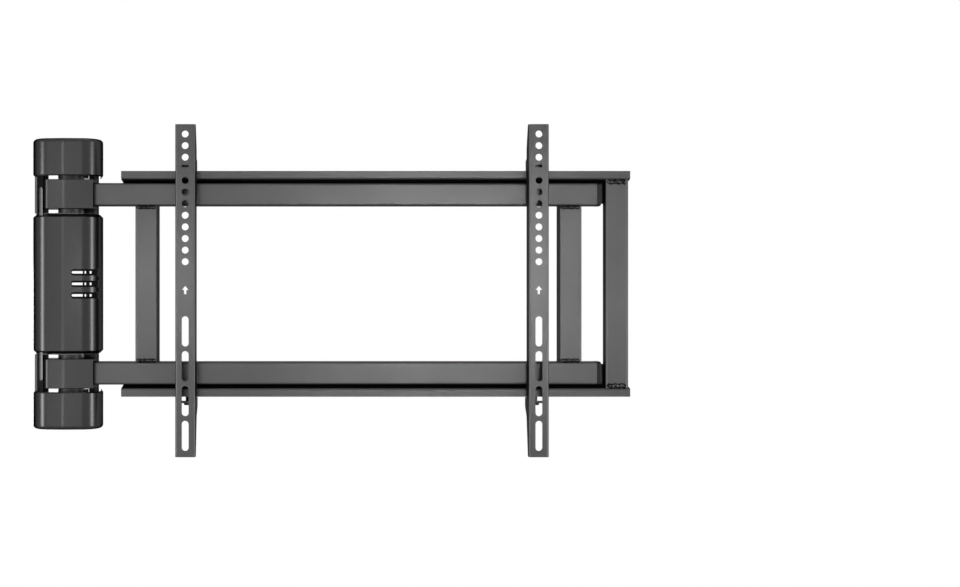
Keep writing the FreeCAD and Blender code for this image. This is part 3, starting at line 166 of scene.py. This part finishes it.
def circuit_board():
    """Green solder mask over copper tracks."""
    mask, over_track = (0.008, 0.07, 0.03), (0.02, 0.14, 0.06)
    track_scale, track_inner, track_outer = 260.0, 0.06, 0.12
    gloss_scale, roughness = 900, (0.25, 0.4)
    strength, depth = 0.4, 0.00004
    made, tree, shader = material("solder_mask", Coat_Weight=0.3)
    where = place_of(tree)
    tracks = add(tree, "ShaderNodeTexVoronoi", [("Vector", where)],
                 feature="DISTANCE_TO_EDGE", Scale=track_scale)
    line = spread(tree, tracks.outputs["Distance"], 1.0, 0.0, track_inner, track_outer)
    tree.links.new(between(tree, line, mask, over_track), shader.inputs["Base Color"])
    gloss = spread(tree, noise(tree, where, gloss_scale), *roughness)
    tree.links.new(gloss, shader.inputs["Roughness"])
    bump(tree, shader, line, strength, depth)
    return made


def bead_painted_light():
    """Weld bead with painted light: painted shade along the toes, where the surface turns away from front
    and back, and painted glints in flecks on the crown.
    """
    # Painted light: the dark colour is painted shade on the toes, the light colour painted glints on the
    # crown.
    dark, light = (0.002, 0.002, 0.002), (0.26, 0.26, 0.262)
    crown_edge, crown_full = 0.92, 0.99  # how square the surface faces front or back
    fleck_scale, fleck_low, fleck_high, fleck_least = 420, 0.4, 0.6, 0.35
    grain, roughness = 700, (0.22, 0.4)
    strength, depth = 0.4, 0.0003
    made, tree, shader = material("weld_painted_light", Metallic=1.0, Specular_Tint=(0.15, 0.15, 0.15, 1))
    where = place_of(tree)
    coords = add(tree, "ShaderNodeTexCoord")
    facing = add(tree, "ShaderNodeSeparateXYZ", [("Vector", coords.outputs["Normal"])])
    level = add(tree, "ShaderNodeMath", [(0, facing.outputs["Y"])], operation="ABSOLUTE")
    # Painted glints and painted shade: lighter where the surface faces square front or back, dark where it
    # turns away.
    crown = spread(tree, level.outputs["Value"], 0.0, 1.0, crown_edge, crown_full)
    glint_flecks = spread(tree, noise(tree, where, fleck_scale), fleck_least, 1.0, fleck_low, fleck_high)
    painted_glint = add(tree, "ShaderNodeMath", [(0, crown), (1, glint_flecks)], operation="MULTIPLY")
    tree.links.new(between(tree, painted_glint.outputs["Value"], dark, light), shader.inputs["Base Color"])
    fine = noise(tree, where, grain, GRAIN_DETAIL, GRAIN_ROUGHNESS)
    tree.links.new(spread(tree, fine, *roughness), shader.inputs["Roughness"])
    bump(tree, shader, fine, strength, depth)
    return made


# Looks of the slots, and of pieces that differ from their slot

looks = {
    "black_steel": coated(
        "powder_coat", dark=(0.068, 0.068, 0.0686), light=(0.076, 0.076, 0.0767),
        grain=1300, roughness=(0.34, 0.42), strength=0.1, depth=0.0001,
        Metallic=1.0, Specular_Tint=(0.15, 0.15, 0.15, 1)),
    "black_plastic": coated(
        "satin_moulding", dark=(0.04, 0.04, 0.0404), light=(0.044, 0.044, 0.0445),
        grain=2600, roughness=(0.22, 0.26), strength=0.015, depth=0.00005,
        Metallic=1.0, Specular_Tint=(0.22, 0.22, 0.22, 1)),
    "bush_plastic": coated(
        "acetal", dark=(0.016, 0.016, 0.016), light=(0.022, 0.022, 0.022),
        grain=1800, roughness=(0.38, 0.5), strength=0.1, depth=0.0001),
    "component_plastic": coated(
        "moulded_case", dark=(0.014, 0.014, 0.015), light=(0.02, 0.02, 0.021),
        grain=2400, roughness=(0.4, 0.55), strength=0.15, depth=0.0001),
    "black_fastener": coated(
        "black_zinc", dark=(0.02, 0.02, 0.021), light=(0.032, 0.032, 0.034),
        grain=900, roughness=(0.26, 0.42), strength=0.1, depth=0.00008, Metallic=0.6),
    "bright_steel": turned_steel(),
    "board": circuit_board(),
}
# Weld material with painted shade along the toes and painted glints on the crown.
weld_painted_light = bead_painted_light()
# Darker copy of the satin moulding for the tube end caps: painted shade.
shaded_plug_moulding = coated(
    "shaded_plug_moulding", dark=(0.018, 0.018, 0.0182), light=(0.021, 0.021, 0.0212),
    grain=2600, roughness=(0.26, 0.3), strength=0.015, depth=0.00005,
    Metallic=1.0, Specular_Tint=(0.12, 0.12, 0.12, 1))
# Near-black material of the sheet in the vents: painted shade.
vent_shade_paint = coated(
    "vent_shade_paint", dark=(0.003, 0.003, 0.003), light=(0.005, 0.005, 0.005),
    grain=1500, roughness=(0.85, 0.95), strength=0.1, depth=0.0001, Specular_IOR_Level=0.1)
floor_paint = coated(
    "floor_paint", dark=(0.79, 0.79, 0.79), light=(0.8, 0.8, 0.8),
    grain=400, roughness=(0.6, 0.7), strength=0.05, depth=0.0002)

slot_of = {part["node"]: part["material_slot"] for part in frame["record"]["subparts"]}
for name, node in nodes.items():
    node.data.materials.clear()
    node.data.materials.append(looks[slot_of[name]])
# The end caps take the darker copy of the moulding: painted shade.
for name in ("upper_end_cap", "lower_end_cap"):
    nodes[name].data.materials[0] = shaded_plug_moulding


# Mesh builders

SHARP_ANGLE = math.radians(40)


def linked(name, data):
    """A new object with the data, in the scene."""
    made = bpy.data.objects.new(name, data)
    bpy.context.scene.collection.objects.link(made)
    return made


def riding(name, mesh, body):
    """A piece that rides a body."""
    piece = linked(name, mesh)
    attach(piece, body)
    return piece


def mesh_piece(name, points, faces, body, slot, look=None):
    """A smooth piece in the look given, or else in its slot's."""
    mesh = bpy.data.meshes.new(name)
    mesh.from_pydata([tuple(p) for p in points], [], faces)
    mesh.validate()
    mesh.shade_smooth()
    mesh.materials.append(look or looks[slot])
    return riding(name, mesh, body)


def lofted(rings):
    """Points and faces of rings with one count of points, joined in order and closed at the ends."""
    count = len(rings[0])
    points = [p for ring in rings for p in ring]
    faces = []
    for r in range(len(rings) - 1):
        for i in range(count):
            j = (i + 1) % count
            faces.append((r * count + i, r * count + j, (r + 1) * count + j, (r + 1) * count + i))
    faces.append(tuple(reversed(range(count))))
    faces.append(tuple((len(rings) - 1) * count + i for i in range(count)))
    return points, faces


def joined(solids):
    """Points and faces of several solids, as those of one mesh."""
    points, faces = [], []
    for more_points, more_faces in solids:
        offset = len(points)
        points += more_points
        faces += [tuple(offset + i for i in face) for face in more_faces]
    return points, faces


# Rails whose flanges rise to the front, clear of the tubes, and the strut fitted between them

FLANGE_LIFT = 3.4 * MM
RAIL_BEND = 3.0 * MM
LEVEL_ROOM = 0.1 * MM
flange_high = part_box("frame_strut")[1]
flange_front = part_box("upper_rail")[0].y + RAIL_BEND
flange_back = flange_high.y


def refitted(name, node):
    """The node's shape with its flange, or the ends that meet one, raised towards the front."""
    mesh = nodes[node].data.copy()
    mesh.name = name
    lowest, highest = flange_high.z - LEVEL_ROOM, flange_high.z + RAIL_BEND + LEVEL_ROOM
    for point in mesh.vertices:
        if lowest <= abs(point.co.z) <= highest:
            share = (flange_back - point.co.y) / (flange_back - flange_front)
            point.co.z += math.copysign(FLANGE_LIFT * min(1.0, max(0.0, share)), point.co.z)
    piece = riding(name, mesh, "tv_frame")
    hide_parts(node)


for rail in ("upper_rail", "lower_rail"):
    refitted(f"{rail}_raised", rail)
refitted("frame_strut_fitted", "frame_strut")


# Weld beads where the struts meet the tubes and rails

BEAD_STEPS, BEAD_SIDES = 120, 14
RIPPLE_PITCH, RIPPLE_HEIGHT = 2.1 * MM, 0.12
WANDER_RATE, WANDER_START, WANDER_HEIGHT = 0.37, 1.3, 0.05
LEAN_RATE, LEAN_HEIGHT = 0.23, 0.12
END_SIZE, END_RATE = 0.3, 9  # share of the full size at an end, and its growth along the bead
RIPPLE_BOW = 0.3  # how far a ripple bows along the bead, as a share of the bead's depth
ARM_BEAD = dict(inset=1.3 * MM, sink=1.5 * MM, drop=2.1 * MM, depth=2.6 * MM, height=2.8 * MM)
FRAME_BEAD = dict(inset=1.3 * MM, sink=1.7 * MM, drop=3.1 * MM, depth=2.6 * MM, height=4.1 * MM)


def weld_bead(name, left, right, y, z, depth, height, body):
    """A rippled bead along X, thinner where the welder started and stopped."""
    angles = [math.tau * i / BEAD_SIDES for i in range(BEAD_SIDES)]
    rings = []
    for s in range(BEAD_STEPS + 1):
        share = s / BEAD_STEPS
        x = left + (right - left) * share
        swell = min(1.0, END_RATE * share + END_SIZE, END_RATE * (1 - share) + END_SIZE)
        phase = math.tau * (x - left) / RIPPLE_PITCH
        wander = WANDER_HEIGHT * math.sin(WANDER_RATE * phase + WANDER_START)
        reach = swell * (1 + RIPPLE_HEIGHT * math.sin(phase) + wander)
        lean = LEAN_HEIGHT * height * math.sin(LEAN_RATE * phase)
        rings.append([(x + RIPPLE_BOW * depth * reach * math.cos(a), y + depth * reach * math.cos(a),
                       z + lean + height * reach * math.sin(a)) for a in angles])
    mesh_piece(name, *lofted(rings), body, "black_steel", weld_painted_light)


def strut_beads(strut, body, front_lift, inset, sink, drop, depth, height):
    """Beads at the front and back of both ends of a strut."""
    low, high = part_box(strut)
    for end, z, side in (("upper", high.z, 1), ("lower", low.z, -1)):
        for face, y, lift in (("front", low.y + sink, front_lift), ("back", high.y - sink, 0.0)):
            weld_bead(f"{strut}_{end}_{face}_weld", low.x + inset, high.x - inset, y,
                      z + side * (lift - drop), depth, height, body)


strut_beads("left_arm_strut", "arm", 0.0, **ARM_BEAD)
strut_beads("right_arm_strut", "arm", 0.0, **ARM_BEAD)
strut_beads("frame_strut", "tv_frame", FLANGE_LIFT, **FRAME_BEAD)


# Screws with a cross recess and, where the shank shows, a thread

SCREW_SIDES = 48
THREAD_DEPTH, THREAD_STEPS = 0.6, 8  # in pitches, and per pitch
TIP_LENGTH, TIP_SIZE = 0.2, 0.5  # as shares of the shank's radius
HEAD_PROFILE = ((0.98, 0.0), (1.0, 0.08), (1.0, 0.5), (0.97, 0.68), (0.9, 0.84))  # radius and height
CROWN_RINGS, CROWN_SIZE, CROWN_CENTRE, CROWN_DROP = 16, 0.82, 0.02, 0.12
RECESS_ARM, RECESS_HALF, RECESS_EDGE, RECESS_DEPTH = 0.62, 0.13, 0.08, 0.6
LOCK_SHANK, LOCK_HEAD_HEIGHT, LOCK_PITCH = 2.5 * MM, 3.6 * MM, 0.8 * MM
COVER_SHANK, COVER_HEAD, COVER_SINK, COVER_PITCH = 1.5 * MM, 2.8 * MM, 1.6 * MM, 0.5 * MM
COVER_INNER_LEVEL = 75 * MM


def screw_rings(shank, length, head, head_height, pitch):
    """Rings from the tip to the middle of the head, along Z with the head's seat at zero."""
    angles = [math.tau * i / SCREW_SIDES for i in range(SCREW_SIDES)]
    rings = []
    depth = THREAD_DEPTH * pitch
    steps = int(length / pitch * THREAD_STEPS)
    for s in range(steps + 1):
        z = -length + length * s / steps
        taper = min(1.0, (1 - TIP_SIZE) * (z + length) / (TIP_LENGTH * shank) + TIP_SIZE)
        ring = []
        for a in angles:
            turn = (a / math.tau - z / pitch) % 1.0
            radius = shank * taper - depth * abs(2 * turn - 1)
            ring.append((radius * math.cos(a), radius * math.sin(a), z))
        rings.append(ring)
    for share, level in HEAD_PROFILE:
        radius = head * share
        rings.append([(radius * math.cos(a), radius * math.sin(a), head_height * level) for a in angles])
    arm, half_arm = RECESS_ARM * head, RECESS_HALF * head
    for t in range(CROWN_RINGS):
        share = CROWN_SIZE * (1 - t / CROWN_RINGS) + CROWN_CENTRE
        ring = []
        for a in angles:
            x, y = head * share * math.cos(a), head * share * math.sin(a)
            inside = min(half_arm - min(abs(x), abs(y)), arm - max(abs(x), abs(y)))
            sunk = max(0.0, min(1.0, 0.5 + inside / (RECESS_EDGE * head)))
            crown = head_height * (1 - CROWN_DROP * share ** 2)
            ring.append((x, y, crown - RECESS_DEPTH * head_height * sunk))
        rings.append(ring)
    return rings


def screws(name, node, body, places, turn, **sizes):
    """One piece of several like screws, each turned and set at its place."""
    points, faces = lofted(screw_rings(**sizes))
    solids = [([Vector(place) + turn @ Vector(p) for p in points], faces) for place in places]
    piece = mesh_piece(name, *joined(solids), body, "black_fastener")
    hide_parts(node)


for hand in ("left", "right"):
    low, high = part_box(f"{hand}_lock_screw")
    seat = ((low.x + high.x) / 2, (low.y + high.y) / 2, low.z + LOCK_HEAD_HEIGHT)
    screws(f"{hand}_lock_screw_threaded", f"{hand}_lock_screw", f"{hand}_bracket", [seat],
           Matrix.Rotation(math.pi, 3, "X"), shank=LOCK_SHANK, length=high.z - seat[2],
           head=(high.x - low.x) / 2, head_height=LOCK_HEAD_HEIGHT, pitch=LOCK_PITCH)

low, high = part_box("cover_screws")
cover_levels = (high.z - COVER_HEAD, COVER_INNER_LEVEL, -COVER_INNER_LEVEL, low.z + COVER_HEAD)
cover_places = [(low.x + COVER_SINK, (low.y + high.y) / 2, z) for z in cover_levels]
screws("cover_screws_recessed", "cover_screws", "wall_bracket", cover_places,
       Matrix.Rotation(-math.pi / 2, 3, "Y"), shank=COVER_SHANK, length=high.x - low.x - COVER_SINK,
       head=COVER_HEAD, head_height=COVER_SINK, pitch=COVER_PITCH)


# Moulded tabs that stand out of the housing's left corner beside the hinges

housing_low, housing_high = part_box("motor_housing")
TAB_CENTRE = (housing_low.x + 30.0 * MM, -19.4 * MM)
TAB_OUTER, TAB_INNER = 40.0 * MM, 38.4 * MM
TAB_MIDDLE, TAB_HALF_ANGLE = math.radians(246.4), math.radians(3.6)
TAB_ROOT, TAB_LENGTH, TAB_TIP = 4.0 * MM, 35.0 * MM, 3.0 * MM
TAB_ARC_STEPS, TAB_TIP_STEPS = 10, 10
TAB_TIP_END = 0.97  # share of the round tip that is made, so that its end keeps a width


def tab_ring(z, half_angle):
    """One level of a tab: its outer arc and its inner arc, as a closed ring."""
    turns = [TAB_MIDDLE + half_angle * (2 * i / TAB_ARC_STEPS - 1) for i in range(TAB_ARC_STEPS + 1)]
    way = [(TAB_OUTER, turn) for turn in turns] + [(TAB_INNER, turn) for turn in reversed(turns)]
    return [(TAB_CENTRE[0] + radius * math.cos(turn), TAB_CENTRE[1] + radius * math.sin(turn), z)
            for radius, turn in way]


def hinge_tab(name, end_z, side):
    """A tab from inside the housing's end to its round tip."""
    rings = [tab_ring(end_z - side * TAB_ROOT, TAB_HALF_ANGLE)]
    for s in range(TAB_TIP_STEPS + 1):
        share = TAB_TIP_END * s / TAB_TIP_STEPS
        z = end_z + side * (TAB_LENGTH - TAB_TIP + TAB_TIP * share)
        rings.append(tab_ring(z, TAB_HALF_ANGLE * math.sqrt(1 - share ** 2)))
    if side < 0:
        rings.reverse()
    tab = mesh_piece(name, *lofted(rings), "wall_bracket", "black_plastic")
    tab.data.set_sharp_from_angle(angle=SHARP_ANGLE)


hinge_tab("upper_hinge_tab", housing_high.z, 1)
hinge_tab("lower_hinge_tab", housing_low.z, -1)


# Near-black sheet behind the housing's vents, with a narrower rounded slot in each: painted shade on the
# vent walls, with pads of it over the vents' lit ends

VENT_LEVELS = (-15.0 * MM, 0.0, 15.0 * MM)
BESIDE_VENTS = 7.5 * MM  # level of the wall between two vents
SHEET_AXIS = (7.0 * MM, -33.0 * MM)  # where the rays that find the inner wall start
SHEET_START, SHEET_END = math.radians(-82.0), math.radians(-22.0)
SHEET_STEPS = 90
SHEET_GAP, SHEET_WALL, SHEET_REACH = 0.15 * MM, 0.8 * MM, 5.6 * MM
SLOT_LEFT, SLOT_RIGHT, SLOT_HALF = 12.9 * MM, 39.8 * MM, 1.6 * MM
PAD_WIDTH, PAD_WALL, PAD_REACH = 2.4 * MM, 0.6 * MM, 3.9 * MM
PAD_ROOM, PAD_MIDDLE = 0.1 * MM, 44.5 * MM
CLEAR_OF_HOUSING = 10.0 * MM


def inner_wall(shell):
    """Points along the inside of the housing's wall between two vents, and the way in from each."""
    origin = Vector((*SHEET_AXIS, BESIDE_VENTS))
    found = []
    for s in range(SHEET_STEPS + 1):
        turn = SHEET_START + (SHEET_END - SHEET_START) * s / SHEET_STEPS
        way = Vector((math.cos(turn), math.sin(turn), 0.0))
        hit = shell.ray_cast(origin, way)[0]
        found.append((hit, -way))
    return found


def slot_half_at(x):
    """Half the height of a shade sheet's slot at a place along it, round at both ends."""
    inside = min(x - SLOT_LEFT, SLOT_RIGHT - x)
    if inside <= 0:
        return 0.0
    return math.sqrt(SLOT_HALF ** 2 - max(0.0, SLOT_HALF - inside) ** 2)


def shade_strip(wall, level, side):
    """Rings of the shade sheet's strip above or below one slot."""
    rings = []
    for place, inward in wall:
        near, far = place + inward * SHEET_GAP, place + inward * (SHEET_GAP + SHEET_WALL)
        edge, end = level + side * slot_half_at(place.x), level + side * SHEET_REACH
        ring = [(near.x, near.y, edge), (near.x, near.y, end), (far.x, far.y, end), (far.x, far.y, edge)]
        rings.append(ring if side > 0 else ring[::-1])
    return rings


def end_shade_pad(shell, level):
    """Rings of a painted-shade pad over the end of one vent in the right flank."""
    ahead = Vector((PAD_MIDDLE, housing_low.y - CLEAR_OF_HOUSING, level))
    end = shell.ray_cast(ahead, Vector((0.0, 1.0, 0.0)))[0]
    back, front = end.y - PAD_ROOM, end.y - PAD_ROOM - PAD_WALL
    beside = Vector((housing_high.x + CLEAR_OF_HOUSING, front, BESIDE_VENTS))
    flank = shell.ray_cast(beside, Vector((-1.0, 0.0, 0.0)))[0]
    right, left = flank.x - PAD_ROOM, flank.x - PAD_WIDTH
    return [[(left, y, level - PAD_REACH), (right, y, level - PAD_REACH),
             (right, y, level + PAD_REACH), (left, y, level + PAD_REACH)] for y in (front, back)]


def vent_shade_sheet():
    """One piece of the painted-shade strips and pads of all the vents."""
    mesh = nodes["motor_housing"].data
    shell = BVHTree.FromPolygons([v.co for v in mesh.vertices], [p.vertices for p in mesh.polygons])
    wall = inner_wall(shell)
    solids = []
    for level in VENT_LEVELS:
        solids += [lofted(shade_strip(wall, level, side)) for side in (1, -1)]
        solids.append(lofted(end_shade_pad(shell, level)))
    # Near-black sheet in the vents: painted shade on their walls and lit ends.
    shade_sheet = mesh_piece("vent_shade_sheet", *joined(solids), "wall_bracket", "black_plastic", vent_shade_paint)
    shade_sheet.data.set_sharp_from_angle(angle=SHARP_ANGLE)


vent_shade_sheet()


# Camera

FOCAL_PIXELS = 1278.0
FRAME_WIDTH, FRAME_HEIGHT = 960.0, 587.0
AXIS_X, AXIS_Y = 325.0, 283.85  # pixel that the camera faces square on
SENSOR_WIDTH = 36.0
CAMERA_PLACE = (0.3424, -1.7225, 0.0)
camera_data = bpy.data.cameras.new("camera")
camera_data.sensor_width = SENSOR_WIDTH
camera_data.lens = SENSOR_WIDTH * FOCAL_PIXELS / FRAME_WIDTH
camera_data.shift_x = (FRAME_WIDTH / 2 - AXIS_X) / FRAME_WIDTH
camera_data.shift_y = (AXIS_Y - FRAME_HEIGHT / 2) / FRAME_WIDTH
camera = linked("camera", camera_data)
camera.location = CAMERA_PLACE
camera.rotation_euler = (math.radians(90), 0, 0)
bpy.context.scene.camera = camera


# Lamps


def softbox(name, place, target, size, watts, spread_angle=180):
    """A rectangular lamp that faces its target."""
    data = bpy.data.lights.new(name, "AREA")
    data.shape = "RECTANGLE"
    data.size, data.size_y = size
    data.energy = watts
    data.spread = math.radians(spread_angle)
    lamp = linked(name, data)
    lamp.location = place
    lamp.rotation_euler = (Vector(target) - Vector(place)).to_track_quat("-Z", "Y").to_euler()


softbox("key", (0.64, -2.4, 0.015), (0.5, 0, 0.015), size=(0.4, 0.2), watts=0.123, spread_angle=14)
softbox("fill", (-0.53, -2.4, 0.0), (-0.53, 0, 0.0), size=(0.9, 1.3), watts=3.7)
softbox("strut_strip", (-0.06, -1.72, 0.0), (0.145, 0, 0.0), size=(0.1, 0.12), watts=0.0042, spread_angle=8)
softbox("upper_strip", (-0.42, -1.72, 0.34), (0, -0.06, 0.17), size=(0.1, 0.26), watts=0.75)
softbox("lower_strip", (-0.42, -1.72, -0.34), (0, -0.06, -0.17), size=(0.1, 0.26), watts=0.75)
softbox("left_strip", (-1.75, -1.42, -0.22), (0, 0, -0.05), size=(0.6, 1.2), watts=22.3)
softbox("right_strip", (1.92, -1.2, -0.22), (0, 0, -0.05), size=(0.5, 1.2), watts=17.1)
softbox("overhead", (0.35, -0.3, 1.9), (0.35, 0, 0), size=(1.4, 0.8), watts=3)
softbox("back_left", (-0.9, 1.8, -0.2), (0.2, 0, 0), size=(0.5, 0.5), watts=9)
softbox("back_right", (1.5, 1.7, -0.2), (0.5, 0, 0), size=(0.5, 0.5), watts=9)


# The world is white to the eye and in reflections, and lights matt surfaces by less

WORLD_LIGHT = 0.62
world = bpy.data.worlds.new("studio")
bpy.context.scene.world = world
world.use_nodes = True
sky = world.node_tree
background = sky.nodes["Background"]
background.inputs["Color"].default_value = (1, 1, 1, 1)
rays = add(sky, "ShaderNodeLightPath").outputs
seen = rays["Is Camera Ray"]
for kind in ("Is Glossy Ray", "Is Transmission Ray"):
    seen = add(sky, "ShaderNodeMath", [(0, seen), (1, rays[kind])], operation="MAXIMUM").outputs[0]
sky.links.new(spread(sky, seen, WORLD_LIGHT, 1.0, 0.0, 1.0), background.inputs["Strength"])


# Floor

FLOOR_X, FLOOR_Z = 0.35, -0.62
FLOOR_REACH_X, FLOOR_REACH_Y = 0.75, 0.6
FLOOR_SIDES = 96
floor_turns = [math.tau * i / FLOOR_SIDES for i in range(FLOOR_SIDES)]
rim = [(FLOOR_X + FLOOR_REACH_X * math.cos(a), FLOOR_REACH_Y * math.sin(a), FLOOR_Z) for a in floor_turns]
floor_mesh = bpy.data.meshes.new("floor")
floor_mesh.from_pydata(rim, [], [tuple(range(FLOOR_SIDES))])
floor_mesh.materials.append(floor_paint)
floor = linked("floor", floor_mesh)

bpy.context.scene.view_settings.view_transform = "Standard"
